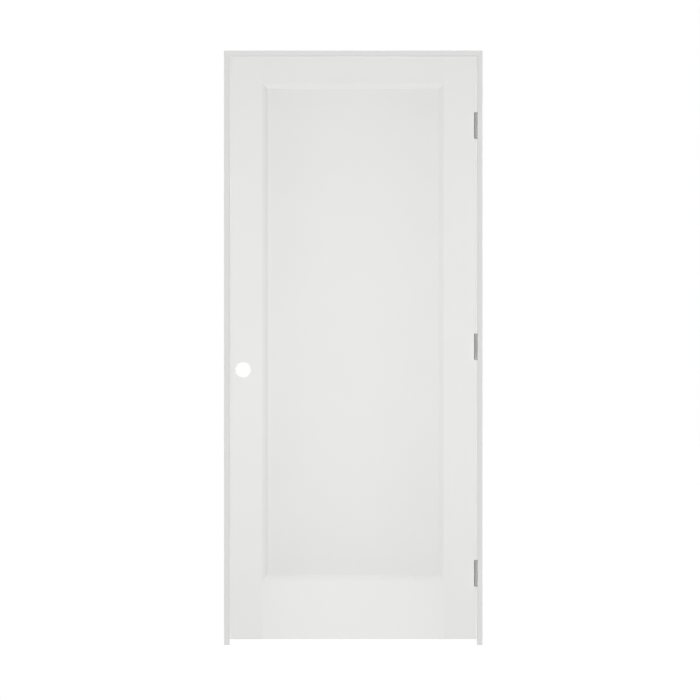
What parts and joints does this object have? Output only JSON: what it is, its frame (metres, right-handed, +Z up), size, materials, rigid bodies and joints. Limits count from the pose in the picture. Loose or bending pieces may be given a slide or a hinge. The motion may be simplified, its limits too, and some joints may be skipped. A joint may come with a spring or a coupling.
{
  "type": "prehung interior door",
  "caption": "Prehung interior door: a white-primed flat recessed-panel slab, bored for a lockset, hung on satin nickel butt hinges in a plain jamb frame with stops.",
  "frame": {"origin": "on the hinge jamb's back face, at floor level, in the middle of the jamb's depth", "axes": "+X out of the back of the hinge jamb into the wall, +Z up, -Y towards the side the leaf opens to"},
  "size_m": [0.9024, 0.1363, 2.0747],
  "materials": {
    "slab_primer": "satin",
    "frame_primer": "satin",
    "hinge_nickel": "satin"
  },
  "bodies": {
    "frame": {"hinge_jamb": "frame_primer", "strike_jamb": "frame_primer", "head_jamb": "frame_primer", "hinge_side_stop": "frame_primer", "strike_side_stop": "frame_primer", "head_stop": "frame_primer", "top_hinge_jamb_leaf": "hinge_nickel", "top_hinge_pin": "hinge_nickel", "top_hinge_plug": "hinge_nickel", "middle_hinge_jamb_leaf": "hinge_nickel", "middle_hinge_pin": "hinge_nickel", "middle_hinge_plug": "hinge_nickel", "bottom_hinge_jamb_leaf": "hinge_nickel", "bottom_hinge_pin": "hinge_nickel", "bottom_hinge_plug": "hinge_nickel"},
    "door": {"hinge_stile": "slab_primer", "lock_stile": "slab_primer", "top_rail": "slab_primer", "bottom_rail": "slab_primer", "panel": "slab_primer", "top_hinge_door_leaf": "hinge_nickel", "middle_hinge_door_leaf": "hinge_nickel", "bottom_hinge_door_leaf": "hinge_nickel"}
  },
  "joints": [
    {"name": "door_swing", "type": "hinge", "parent": "frame", "child": "door", "pos_m": [-0.02285, -0.072, 1.0415], "axis": [0, 0, 1], "range_deg": [0, 180]}
  ]
}
